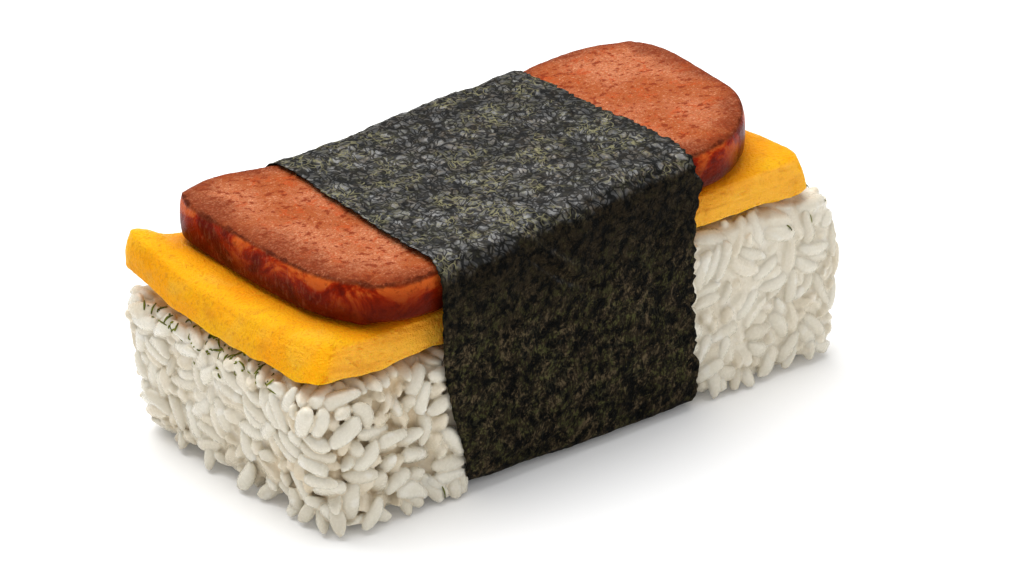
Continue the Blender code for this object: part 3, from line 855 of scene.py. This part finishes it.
@dataclass
class NoriBand:
    """The sheet of nori wrapped round the middle."""

    node: bpy.types.Object
    finish: NoriFinish = NoriFinish()
    thickness: float = 0.16 * MM
    plate_size: float = 2.1 * MM
    plate_tilt: float = 0.36 * MM
    crease: float = 0.16 * MM
    crinkle: float = 0.16 * MM
    dent: float = 0.7 * MM
    ragged: float = 0.5 * MM
    tears: tuple = ((19.0, 0.9, -0.8), (11.0, 0.8, -1.1), (41.0, 1.8, 1.5), (37.5, 1.0, 0.6))

    def build(self) -> bpy.types.Object:
        """Shapes the band from the outer side of its solid.

        Returns:
            The piece.
        """
        item = Bench.copy_of(self.node, "nori_band")
        self.keep_outer_side(item)
        Bench.refine(item, 3)
        self.sharpen_foot(item)
        rim = self.rim(item)
        Bench.work(item, self.surface, 0.3 + 0.7 * Bench.far_from(item, rim, 3.0 * MM))
        self.tear_edges(item, rim)
        Bench.modify(item, "SOLIDIFY", thickness=self.thickness, offset=-1.0, use_even_offset=False)
        return Bench.finished(item, self.finish.material(), "nori", "nori")

    def keep_outer_side(self, item: bpy.types.Object) -> None:
        """Deletes the inner side and the cut edges of the copied solid."""
        low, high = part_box(self.node.name)
        middle = (low + high) / 2
        for vert in item.data.vertices:
            vert.select = False
        for edge in item.data.edges:
            edge.select = False
        for face in item.data.polygons:
            out = face.center - middle
            faces_out = face.normal.y * out.y + face.normal.z * out.z > 0
            face.select = not faces_out or abs(face.normal.x) > 0.75
        Bench.take(item)
        bpy.ops.object.mode_set(mode="EDIT")
        bpy.ops.mesh.select_mode(type="FACE")
        bpy.ops.mesh.delete(type="FACE")
        bpy.ops.object.mode_set(mode="OBJECT")

    def sharpen_foot(self, item: bpy.types.Object) -> None:
        """Brings the front's lower edge out and down to the floor, more at the right."""
        places = Bench.places(item)
        for number, (x, y, z) in enumerate(places / MM):
            if y < -20 and z < 4:
                share = ease((x + 34) / 30) * ease((-20 - y) / 6) * ease((4.2 - z) / 3.4)
                places[number, 1] = max(y - 0.9 * share, min(y, -28.1)) * MM
                places[number, 2] -= 0.2 * share * MM
        Bench.move(item, places)

    def surface(self, place: Vector, normal: Vector) -> float:
        """The creased plates of the dried sheet.

        Args:
            place: a point of the sheet.
            normal: the direction it faces.

        Returns:
            How far it moves out.
        """
        on_top = ease(normal.z * 1.5)
        swirl = noise.turbulence_vector(place / (4 * MM), 2, False) * 1.6 * MM
        distances, cells = noise.voronoi((place + swirl) / self.plate_size)
        tilt = noise.noise_vector(cells[0] * 7.3) * self.plate_tilt
        plate = tilt.dot((place + swirl) / self.plate_size - cells[0])
        crease = -self.crease * (1 - ease((distances[1] - distances[0]) / 0.35))
        crinkle = self.crinkle * hill(place + swirl, 1.5 * MM, 2)
        wave = 0.35 * MM * hill(place, 9 * MM, 2)
        relief = (0.35 + 0.65 * on_top) * (plate + crease + crinkle) + wave
        return relief - (self.dent * self.fold(place) if place.y < -20 * MM else 0.0)

    @staticmethod
    def fold(place: Vector) -> float:
        """The crease in front: 1 in its valley, below 0 on the bulge over it."""
        along = (place.x + 7 * MM) / (7.5 * MM)
        over = (place.z - 33.3 * MM) / MM + 0.66 * (place.x + 7 * MM) / MM - 1.2 * along ** 2
        return math.exp(-along ** 4) * (
            math.exp(-(over / 1.0) ** 2) - 0.7 * math.exp(-((over - 2.2) / 1.5) ** 2))

    def rim(self, item: bpy.types.Object) -> np.ndarray:
        """True for each point on one of the sheet's two edges."""
        uses = {}
        for face in item.data.polygons:
            for key in face.edge_keys:
                uses[key] = uses.get(key, 0) + 1
        rim = np.zeros(len(item.data.vertices), bool)
        for key, count in uses.items():
            if count == 1:
                rim[list(key)] = True
        return rim

    def tear_edges(self, item: bpy.types.Object, rim: np.ndarray) -> None:
        """Makes the two edges ragged, the right one more, with a tuft and two notches.

        Args:
            item: the sheet.
            rim: true for each point on an edge.
        """
        places = Bench.places(item)
        reach = Bench.far_from(item, rim, 2.2 * MM)
        for number in np.flatnonzero(reach < 1.0):
            spot = Vector(places[number])
            right = spot.x > 0
            pull = hill(spot, 0.9 * MM, 3) * self.ragged * (1.5 if right else 0.8)
            pull += 0.3 * MM * hill(spot, 6.0 * MM, 1)
            if right and spot.y < 0:
                pull += sum(deep * MM * math.exp(-((spot.z / MM - level) / wide) ** 2)
                            for level, wide, deep in self.tears)
            places[number, 0] += pull * (1.0 - reach[number])
        Bench.move(item, places)


@dataclass
class Grain:
    """One grain of rice, with its own source of chance and, once it is shaped, its points."""

    head: Vector
    tail: Vector
    width: float
    loose: float
    tone: float
    chance: random.Random
    points: np.ndarray | None = None


@dataclass
class RiceBlock:
    """The pressed rice: a soft mass of grains that stick together."""

    node: bpy.types.Object
    covers: list
    finish: RiceFinish = RiceFinish()
    count: int = 2320
    length: float = 7.0 * MM
    width: float = 3.15 * MM
    thick: float = 2.6 * MM
    voxel: float = 1.2 * MM
    fine_voxel: float = 0.245 * MM
    parting: float = -5.0 * MM
    core_depth: float = 2.1 * MM
    core_least: float = 0.42
    proud: float = 0.7 * MM
    deepest: float = 3.2 * MM
    tuck: float = 2.8 * MM
    sink: float = 0.8
    puff: float = 1.02
    # The least share of painted crease shade on the melted mass.
    mass_crease_shade: float = 0.42
    rounds: int = 40
    most_triangles: int = 190000
    seed: int = 5

    def build(self) -> list[bpy.types.Object]:
        """Makes the mass, in two halves that meet under the band, and the skins on it.

        Returns:
            The pieces.
        """
        core = Bench.copy_of(self.node, "rice_mass")
        Bench.modify(core, "REMESH", mode="VOXEL", voxel_size=self.voxel)
        Bench.modify(core, "SMOOTH", factor=0.5, iterations=9)
        self.meet_band(core)
        self.shell = Bench.tree(core)
        self.open = np.array([self.is_open(f.center, f.normal) for f in core.data.polygons])
        draw = random.Random(self.seed)
        grains = self.settle(self.strew(core, draw)) + self.strays()
        Bench.work(core, lambda place, normal: -self.core_depth * (
            self.core_least + (1 - self.core_least) * self.looseness(place)))
        form, faces = self.grain_form()
        for grain in grains:
            grain.points = self.shape(grain, form)
        pieces = [self.join([grain for grain in grains if self.is_outer(grain)],
                            faces, "rice_grains", self.puff)]
        for end, clear in ((End.LEFT, "clear_outer"), (End.RIGHT, "clear_inner")):
            stuck = [grain for grain in grains if (grain.head.x - self.parting) * end.value > 0]
            half = self.half_of(core, "rice_" + end.name.lower(), clear)
            pieces.append(self.melt(half, self.join(stuck, faces, "stuck_grains", 1.0)))
        bpy.data.objects.remove(core, do_unlink=True)
        material = self.finish.material()
        return [Bench.finished(piece, material, "rice", "rice") for piece in pieces]

    def meet_band(self, core: bpy.types.Object) -> None:
        """Swells the front and back under the band, so that rice touches its edges."""
        places = Bench.places(core)
        for number, (x, y, z) in enumerate(places / MM):
            under = ease((x + 34.5) / 2.5) * ease((24.5 - x) / 2.5)
            edge = max(ease((-21 - x) / 4), ease((x - 16) / 3))
            lift = under * (0.5 + 0.9 * edge) * ease(z / 3) * ease((abs(y) - 18) / 6)
            places[number, 1] += math.copysign(lift, y) * MM
        Bench.move(core, places)

    def strays(self) -> list[Grain]:
        """Makes the grains that stand out along the foot of the left end and of the front.

        Returns:
            The grains.
        """
        found = []
        spots = [(-58.0, y) for y in (-24, -19, -15, -8, -2, 6, 15)]
        spots += [(x, -29.0) for x in (-53, -47, -43, -39, -36, -33, -31, -29, -27.5, -26.3)]
        spots += [(x, -29.0) for x in (27, 29.5, 32, 35, 38.5, 44, 49, 54)]
        for number, (x, y) in enumerate(spots):
            draw = random.Random(self.seed + self.count + number)
            start = Vector((x, y + draw.uniform(-1.5, 1.5), draw.uniform(1.5, 3.0))) * MM
            near, normal, _, _ = self.shell.find_nearest(start)
            level = Vector((normal.x, normal.y, 0.0)).normalized()
            tail = near + level * draw.uniform(-0.6, 0.1) * MM
            if -34 < x < 40:
                tail.y = draw.uniform(-27.0, -26.2) * MM
            tail.z = draw.uniform(1.35, 2.0) * MM
            way = -level * draw.uniform(0.1, 0.8) + Vector((0, 0, 1)) * draw.uniform(0.5, 1.0)
            way += level.cross(Vector((0, 0, 1))) * draw.uniform(-0.8, 0.8)
            head = tail + way.normalized() * draw.uniform(3.0, 4.2) * MM
            width = self.width * draw.uniform(0.8, 1.0)
            found.append(Grain(head, tail, width, 1.0, draw.random(), draw))
        return found

    def half_of(self, core: bpy.types.Object, name: str, clear: str) -> bpy.types.Object:
        """Copies the core and cuts one side of it off under the band.

        Args:
            core: the whole core.
            name: the copy's name.
            clear: the bisect option that drops the other side.

        Returns:
            The closed half.
        """
        Bench.take(core)
        bpy.ops.object.duplicate()
        item = bpy.context.active_object
        item.name = item.data.name = name
        bpy.ops.object.mode_set(mode="EDIT")
        bpy.ops.mesh.select_all(action="SELECT")
        bpy.ops.mesh.bisect(plane_co=(self.parting, 0, 0), plane_no=(1, 0, 0), use_fill=True,
                            **{clear: True})
        bpy.ops.object.mode_set(mode="OBJECT")
        return item

    def is_open(self, place: Vector, normal: Vector) -> bool:
        """Whether grains at a point of the block can be seen.

        Args:
            place: a point of the block's outside.
            normal: the direction it faces.

        Returns:
            True where nothing covers it, or only the last millimetres of what does.
        """
        if normal.z < -0.75:
            return place.x < -53 * MM or place.x > 50.5 * MM or abs(place.y) > 23.5 * MM
        steps = [Vector((math.copysign(self.tuck, place.x + 5 * MM), 0.0, 0.0))]
        if normal.z > 0.75:
            steps.append(Vector((0.0, math.copysign(self.tuck, place.y), 0.0)))
        for step in steps:
            hits = [cover.ray_cast(place + step, normal, 8 * MM)[0] for cover in self.covers]
            if all(hit is None for hit in hits):
                return True
        return False

    def looseness(self, place: Vector) -> float:
        """How loosely the grains lie at a point, from 0, pressed flat, to 1."""
        near_corner = 1.0 - math.hypot(place.x + 50 * MM, place.y + 29 * MM) / (30 * MM)
        foot = 0.75 * ease(1.0 - place.z / (9 * MM))
        pressed = 0.35 * ease((place.x - 10 * MM) / (20 * MM))
        patches = 0.32 - pressed + 0.5 * hill(place, 11 * MM, 2)
        return min(max(near_corner * 1.5, foot * (1 - pressed * 1.6), patches, 0.04), 1.0)

    def strew(self, core: bpy.types.Object, draw: random.Random) -> list[Grain]:
        """Strews grains in two or three layers, and keeps those on open faces.

        Args:
            core: the block's outside.
            draw: the source of chance for their places.

        Returns:
            The grains.
        """
        faces = [(f.center.copy(), f.normal.copy(), f.area, self.open[f.index])
                 for f in core.data.polygons]
        places = draw.choices(faces, [area for _, _, area, _ in faces], k=self.count)
        grains = []
        for number, (place, normal, _, shows) in enumerate(places):
            if not shows:
                continue
            draw = random.Random(self.seed + number)
            loose = self.looseness(place)
            side = normal.orthogonal().normalized()
            spin = draw.uniform(0, math.tau)
            flat = side * math.cos(spin) + normal.cross(side) * math.sin(spin)
            lean = draw.gauss(0, 0.2 + 0.3 * loose)
            if draw.random() < 0.3 + 0.15 * loose:
                lean = draw.uniform(-1.35, 1.35)
            along = (flat * math.cos(lean) + normal * math.sin(lean)).normalized()
            middle = place - normal * draw.uniform(0.2 * MM, self.deepest)
            width = self.width * draw.uniform(0.86, 1.1)
            half = (self.length * draw.uniform(0.8, 1.08) - width) / 2
            grains.append(Grain(middle - along * half, middle + along * half, width, loose,
                                draw.random(), draw))
        return grains

    def settle(self, grains: list[Grain]) -> list[Grain]:
        """Pushes grains apart until they lie against each other within the block.

        Args:
            grains: the grains, which may overlap.

        Returns:
            The same grains at rest.
        """
        heads = np.array([grain.head for grain in grains])
        tails = np.array([grain.tail for grain in grains])
        radius = np.array([grain.width / 2 for grain in grains])
        spans = np.linalg.norm(tails - heads, axis=1)
        outs = [grain.chance.uniform(-0.5, 0.75 * grain.loose) * MM for grain in grains]
        rounds = self.rounds
        for turn in range(rounds):
            if turn % 6 == 0:
                first, second = self.neighbours(heads, tails)
            self.push_apart(heads, tails, radius, first, second)
            self.hold_in(heads, radius, outs)
            self.hold_in(tails, radius, outs)
            middle = (heads + tails) / 2
            along = tails - heads
            along *= (spans / np.linalg.norm(along, axis=1) / 2)[:, None]
            heads, tails = middle - along, middle + along
        for grain, head, tail in zip(grains, heads, tails):
            grain.head, grain.tail = Vector(head), Vector(tail)
        return grains

    def neighbours(self, heads: np.ndarray, tails: np.ndarray) -> tuple[np.ndarray, np.ndarray]:
        """Pairs of grains that are close enough to touch."""
        middles = (heads + tails) / 2
        tree = KDTree(len(middles))
        for number, middle in enumerate(middles):
            tree.insert(middle, number)
        tree.balance()
        pairs = [(number, other) for number, middle in enumerate(middles)
                 for _, other, _ in tree.find_range(middle, self.length) if other > number]
        pairs = np.array(pairs)
        return pairs[:, 0], pairs[:, 1]

    def push_apart(self, heads: np.ndarray, tails: np.ndarray, radius: np.ndarray,
                   first: np.ndarray, second: np.ndarray) -> None:
        """Moves overlapping grains away from each other at their closest points.

        Args:
            heads: one end of each grain's axis, moved in place.
            tails: the other end, moved in place.
            radius: half of each grain's width.
            first: the first grain of each pair.
            second: the second grain of each pair.
        """
        start, other_start = heads[first], heads[second]
        run, other_run = tails[first] - start, tails[second] - other_start
        between = start - other_start
        own = (run * run).sum(1)
        others = (other_run * other_run).sum(1)
        cross = (run * other_run).sum(1)
        own_between = (run * between).sum(1)
        other_between = (other_run * between).sum(1)
        spread = np.maximum(own * others - cross * cross, 1e-16)
        share = np.clip((cross * other_between - own_between * others) / spread, 0, 1)
        other_share = np.clip((cross * share + other_between) / others, 0, 1)
        share = np.clip((cross * other_share - own_between) / own, 0, 1)
        apart = between + run * share[:, None] - other_run * other_share[:, None]
        distance = np.linalg.norm(apart, axis=1)
        overlap = (radius[first] + radius[second]) * self.sink - distance
        touch = overlap > 0
        step = apart[touch] / np.maximum(distance[touch], 1e-9)[:, None]
        step *= (overlap[touch] * 0.42)[:, None]
        for ends, near, grain, sign in (
                (heads, 1 - share, first, 1), (tails, share, first, 1),
                (heads, 1 - other_share, second, -1), (tails, other_share, second, -1)):
            np.add.at(ends, grain[touch], sign * step * near[touch][:, None])

    def hold_in(self, ends: np.ndarray, radius: np.ndarray, outs: list) -> None:
        """Keeps the ends of the grains' axes within the block's outer layer.

        Args:
            ends: the ends, moved in place.
            radius: half of each grain's width.
            outs: how much prouder than usual each one may stand.
        """
        for number, end in enumerate(ends):
            near, normal, _, _ = self.shell.find_nearest(end)
            height = (Vector(end) - near).dot(normal)
            highest = self.proud + outs[number] - radius[number]
            if abs(normal.z) > 0.6:
                highest = min(highest, 0.1 * MM - radius[number])
            if height > highest:
                ends[number] -= np.array(normal) * (height - highest)
            elif height < -self.deepest:
                ends[number] += np.array(normal) * (-self.deepest - height) * 0.5
            ends[number, 2] = max(ends[number, 2], radius[number] * 0.9)

    def is_outer(self, grain: Grain) -> bool:
        """Whether a grain keeps a smooth skin of its own on the mass."""
        middle = (grain.head + grain.tail) / 2
        near, normal, _, _ = self.shell.find_nearest(middle)
        shallow = (middle - near).dot(normal) > -2.0 * MM
        return shallow and grain.chance.random() < 0.75 + 0.25 * grain.loose

    def grain_form(self) -> tuple[np.ndarray, list]:
        """Models one grain lying along X and returns its points, for a size of 2, and faces."""
        bpy.ops.object.select_all(action="DESELECT")
        bpy.ops.mesh.primitive_uv_sphere_add(segments=10, ring_count=7, radius=1.0)
        item = bpy.context.active_object
        bpy.ops.object.mode_set(mode="EDIT")
        bpy.ops.mesh.select_all(action="SELECT")
        bpy.ops.transform.rotate(value=math.pi / 2, orient_axis="Y", center_override=(0, 0, 0))
        bpy.ops.object.mode_set(mode="OBJECT")
        places = Bench.places(item)
        ring = np.hypot(places[:, 1], places[:, 2])
        blunt = np.where(ring > 1e-6, np.maximum(ring, 1e-6) ** -0.18, 1.0)
        places[:, 1:] *= blunt[:, None]
        faces = [tuple(face.vertices) for face in item.data.polygons]
        bpy.data.objects.remove(item, do_unlink=True)
        return places, faces

    def shape(self, grain: Grain, form: np.ndarray) -> np.ndarray:
        """Gives one grain its own shape and sets it on its axis.

        Args:
            grain: the grain.
            form: the points of a plain grain.

        Returns:
            Its points.
        """
        draw = grain.chance
        middle = (grain.head + grain.tail) / 2
        along = (grain.tail - grain.head).normalized()
        normal = self.shell.find_nearest(middle)[1]
        across = normal.cross(along)
        if across.length < 0.1:
            across = along.orthogonal()
        across.normalize()
        up = along.cross(across)
        half = ((grain.tail - grain.head).length + grain.width) / 2
        slim = half / grain.width * 2
        points = form.copy()
        for _ in range(3):
            way = np.array((draw.gauss(0, 0.5), draw.gauss(0, 1), draw.gauss(0, 1)))
            way /= np.linalg.norm(way)
            over = np.maximum(points @ way - draw.uniform(0.6, 0.85), 0.0)
            points -= over[:, None] * way * 0.85
        ring = np.maximum(np.hypot(points[:, 1], points[:, 2]), 0.05)
        points[:, 1:] *= (ring ** draw.uniform(-0.2, 0.35))[:, None]
        points[:, 1] *= 1 - 0.22 * draw.uniform(-1, 1) * points[:, 0]
        points[:, 1] += draw.gauss(0, 0.10) * (points[:, 0] ** 2 - 0.4) * slim
        points[:, 2] += draw.gauss(0, 0.07) * (points[:, 0] ** 2 - 0.4) * slim
        rough = [0.12 * hill(Vector(p) * MM + middle * 3, 0.9 * MM, 1) for p in points]
        points *= 1 + np.array(rough)[:, None]
        size = np.array((half, grain.width / 2, self.thick / 2 * grain.width / self.width))
        points = (points * size) @ np.array((along, across, up)) + np.array(middle)
        return self.press(points, grain.loose)

    def press(self, points: np.ndarray, loose: float) -> np.ndarray:
        """Flattens what stands out of the block, as the mould did.

        Args:
            points: a grain's points, moved in place.
            loose: how loosely the grain lies.

        Returns:
            The points.
        """
        keep = 0.12 + 0.83 * loose
        for number, point in enumerate(points):
            near, normal, _, _ = self.shell.find_nearest(point)
            height = (Vector(point) - near).dot(normal)
            kept = min(height, 0.25 * MM + (height - 0.25 * MM) * keep)
            roof = self.covers[1].ray_cast(near - normal * 2 * MM, normal, 5 * MM)[3]
            if roof is not None:
                kept = min(kept, roof - 2.3 * MM)
            points[number] += np.array(normal) * (kept - height)
        points[:, 2] = np.maximum(points[:, 2], 0.02 * MM)
        return points

    def join(self, grains: list[Grain], faces: list, name: str, puff: float) -> bpy.types.Object:
        """Joins grains into one piece.

        Args:
            grains: the grains.
            faces: the faces of one grain.
            name: the piece's name.
            puff: how much larger than its points each grain becomes.

        Returns:
            The piece, marked with each grain's tone and how deep each point lies.
        """
        points, loops = [], []
        for grain in grains:
            middle = grain.points.mean(0)
            first = len(points) * len(grain.points)
            loops += [tuple(number + first for number in face) for face in faces]
            points.append(middle + (grain.points - middle) * puff)
        mesh = bpy.data.meshes.new(name)
        mesh.from_pydata(np.concatenate(points).tolist(), [], loops)
        item = bpy.data.objects.new(name, mesh)
        bpy.context.scene.collection.objects.link(item)
        Bench.mark(item, "tone", np.repeat([grain.tone for grain in grains], len(points[0])))
        Bench.mark(item, "depth", self.depths(item))
        return item

    def depths(self, item: bpy.types.Object) -> np.ndarray:
        """How deep each point of a piece lies in the block, from 0 to 1."""
        found = []
        for point in Bench.places(item):
            near, normal, _, _ = self.shell.find_nearest(point)
            found.append(ease(((near - Vector(point)).dot(normal) - 0.5 * MM) / (1.9 * MM)))
        return np.array(found)

    def melt(self, core: bpy.types.Object, grains: bpy.types.Object) -> bpy.types.Object:
        """Makes the core and the grains that stick to it one soft mass.

        Args:
            core: the core.
            grains: the grains, which are used up.

        Returns:
            The mass, with each grain's tone.
        """
        tree = Bench.tree(grains)
        first = np.array([f.vertices[0] for f in grains.data.polygons])
        tones = np.empty(len(grains.data.vertices), np.float32)
        grains.data.attributes["tone"].data.foreach_get("value", tones)
        Bench.take(core)
        grains.select_set(True)
        bpy.ops.object.join()
        Bench.modify(core, "REMESH", mode="VOXEL", voxel_size=self.fine_voxel)
        Bench.modify(core, "SMOOTH", factor=0.5, iterations=1)
        hidden = core.vertex_groups.new(name="hidden")
        closed = [number for number, point in enumerate(Bench.places(core))
                  if not self.open[self.shell.find_nearest(point)[2]]]
        hidden.add(closed, 1.0, "REPLACE")
        for group in ("hidden", ""):
            triangles = sum(len(face.vertices) - 2 for face in core.data.polygons)
            log.info("mass before thinning: %d triangles", triangles)
            share = min(self.most_triangles / triangles, 1.0)
            Bench.modify(core, "DECIMATE", ratio=share, vertex_group=group)
        core.vertex_groups.clear()
        for name in ("tone", "depth"):
            if name in core.data.attributes:
                core.data.attributes.remove(core.data.attributes[name])
        picked = [first[tree.find_nearest(point)[2]] for point in Bench.places(core)]
        Bench.mark(core, "tone", tones[picked])
        # Painted shade: every point of the mass gets some of the warm crease shade, more where the
        # grains lie loosely.
        least = [self.mass_crease_shade * (0.35 + 0.65 * self.looseness(Vector(point)))
                 for point in Bench.places(core)]
        Bench.mark(core, "depth", np.maximum(self.depths(core), least))
        return core


@dataclass
class HerbFlakes:
    """Dried green flakes on the rice just below the omelette."""

    rice: list
    finish: HerbFinish = HerbFinish()
    left_count: int = 110
    right_count: int = 26
    seed: int = 3

    def build(self) -> bpy.types.Object:
        """Strews the flakes over both ends of the rice.

        Returns:
            The piece.
        """
        trees = [Bench.tree(item) for item in self.rice]
        draw = random.Random(self.seed)
        form, faces = self.flake_form()
        points, loops = [], []
        clumps = {End.LEFT: (-14, -11, -8, -5, -3, -1, 1, 3, 6, 11, 18),
                  End.RIGHT: (-25, -24, -20, -8, 6, 17)}
        wanted = [End.LEFT] * self.left_count + [End.RIGHT] * self.right_count
        for end in wanted:
            side = end.value
            y = (draw.choice(clumps[end]) + draw.gauss(0, 1.5)) * MM
            drop = (abs(draw.gauss(0, 2.0)) + 0.4) * MM
            level = (26.4 if end is End.LEFT else 30.4) * MM
            start = Vector((side * 80 * MM, y, level - drop + 8 * MM))
            aim = Vector((-side, 0, -0.3)).normalized()
            hits = [tree.ray_cast(start, aim) for tree in trees]
            hits = [hit for hit in hits if hit[0] is not None]
            if not hits:
                continue
            spot, normal, _, _ = min(hits, key=lambda hit: hit[3])
            spin = draw.uniform(0, math.tau)
            flat = normal.orthogonal().normalized()
            along = flat * math.cos(spin) + normal.cross(flat) * math.sin(spin)
            across = normal.cross(along)
            long = draw.uniform(0.5, 1.1) if draw.random() < 0.45 else draw.uniform(0.12, 0.4)
            size = np.array((long, draw.uniform(0.10, 0.22), 0.06)) * MM
            shape = form.copy()
            shape[:, 2] += draw.uniform(0.5, 4.0) * (1 - shape[:, 0] ** 2)
            shape[:, 1] += draw.uniform(-1.6, 1.6) * shape[:, 0] ** 2
            place = (shape * size) @ np.array((along, across, normal)) + np.array(spot)
            loops += [tuple(v + len(points) * len(form) for v in face) for face in faces]
            points.append(place)
        mesh = bpy.data.meshes.new("herb_flakes")
        mesh.from_pydata(np.concatenate(points).tolist(), [], loops)
        item = bpy.data.objects.new("herb_flakes", mesh)
        bpy.context.scene.collection.objects.link(item)
        return Bench.finished(item, self.finish.material(), "herb")

    def flake_form(self) -> tuple[np.ndarray, list]:
        """Models one flat strip along X and returns its points, for a size of 2, and faces."""
        bpy.ops.mesh.primitive_cube_add(size=2.0)
        item = bpy.context.active_object
        bpy.ops.object.mode_set(mode="EDIT")
        bpy.ops.mesh.select_all(action="SELECT")
        bpy.ops.mesh.subdivide(number_cuts=3)
        bpy.ops.object.mode_set(mode="OBJECT")
        Bench.modify(item, "DECIMATE", decimate_type="DISSOLVE", angle_limit=0.01)
        bpy.ops.object.mode_set(mode="EDIT")
        bpy.ops.mesh.select_all(action="SELECT")
        for cut in (-0.5, 0.0, 0.5):
            bpy.ops.mesh.select_all(action="SELECT")
            bpy.ops.mesh.bisect(plane_co=(cut, 0, 0), plane_no=(1, 0, 0))
        bpy.ops.object.mode_set(mode="OBJECT")
        places = Bench.places(item)
        places[:, 1] *= 1 - 0.45 * np.abs(places[:, 0])
        faces = [tuple(face.vertices) for face in item.data.polygons]
        bpy.data.objects.remove(item, do_unlink=True)
        return places, faces


@dataclass
class Studio:
    """The pale floor, the soft lights and the camera."""

    floor_reach: float = 3.0
    floor_colour: tuple = (0.9, 0.9, 0.9)
    floor_glow: float = 0.06
    ambient: float = 0.46
    lights: tuple = (
        ((0.0, 0.31, 0.95), 14.5, 1.05),
        ((-0.90, -0.75, 0.55), 0.6, 0.8),
        ((0.65, -1.00, 0.50), 2.2, 0.8),
        ((-0.45, -0.55, 0.75), 0.4, 0.10),
    )
    azimuth: float = math.radians(39.9)
    elevation: float = math.radians(25.0)
    distance: float = 843.2 * MM
    aside: float = 2.951 * MM
    lift: float = 16.78 * MM
    origin: tuple = (1.98 * MM, 0.21 * MM, -0.07 * MM)
    lens: float = 5000 / 1024 * 36

    def build(self) -> None:
        """Sets up the studio."""
        self.lay_floor()
        self.hang_lights()
        self.set_camera()

    def lay_floor(self) -> None:
        """Lays the floor just under the food."""
        bpy.ops.object.select_all(action="DESELECT")
        bpy.ops.mesh.primitive_plane_add(size=2 * self.floor_reach, location=(0, 0, -0.1 * MM))
        floor = bpy.context.active_object
        floor.name = "floor"
        paint = Paint("floor")
        floor.data.materials.append(
            paint.finish(Base_Color=self.floor_colour, Roughness=0.6, Specular_IOR_Level=0.1,
                         Emission_Color=(1.0, 1.0, 1.0), Emission_Strength=self.floor_glow))

    def hang_lights(self) -> None:
        """Hangs a large soft light above and behind, two weaker ones and a small one in front."""
        world = bpy.data.worlds.new("room")
        bpy.context.scene.world = world
        world.use_nodes = True
        back = world.node_tree.nodes["Background"]
        back.inputs["Color"].default_value = (1.0, 1.0, 1.0, 1.0)
        back.inputs["Strength"].default_value = self.ambient
        for spot, power, size in self.lights:
            bpy.ops.object.light_add(type="AREA", location=spot)
            light = bpy.context.active_object
            light.rotation_euler = (-Vector(spot)).to_track_quat("-Z", "Y").to_euler()
            light.data.energy = power
            light.data.size = size
        scene = bpy.context.scene
        scene.view_settings.view_transform = "Standard"
        scene.view_settings.look = "None"

    def set_camera(self) -> None:
        """Places the camera as the photograph was taken."""
        side, level = math.sin(self.azimuth), math.cos(self.azimuth)
        low, high = math.cos(self.elevation), math.sin(self.elevation)
        back = Vector((-side * low, -level * low, high))
        right = Vector((level, -side, 0.0))
        up = back.cross(right)
        spot = Vector(self.origin) + back * self.distance + right * self.aside + up * self.lift
        bpy.ops.object.camera_add(location=spot)
        camera = bpy.context.active_object
        camera.rotation_euler = (-back).to_track_quat("-Z", "Y").to_euler()
        camera.data.lens = self.lens
        camera.data.sensor_width = 36.0
        camera.data.clip_start = 0.01
        bpy.context.scene.camera = camera


def main() -> None:
    """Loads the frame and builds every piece."""
    logging.basicConfig(level=logging.INFO, format="%(message)s")
    noise.seed_set(NOISE_SEED)
    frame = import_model()
    nodes = frame["nodes"]
    Studio().build()
    meat = MeatSlice(nodes["meat"]).build()
    egg = Omelette(nodes["egg"], Bench.tree(meat)).build()
    nori = NoriBand(nodes["nori"]).build()
    covers = [Bench.tree(egg), Bench.tree(nori)]
    rice = RiceBlock(nodes["rice"], covers).build()
    HerbFlakes(rice).build()


if __name__ == "__main__":
    main()
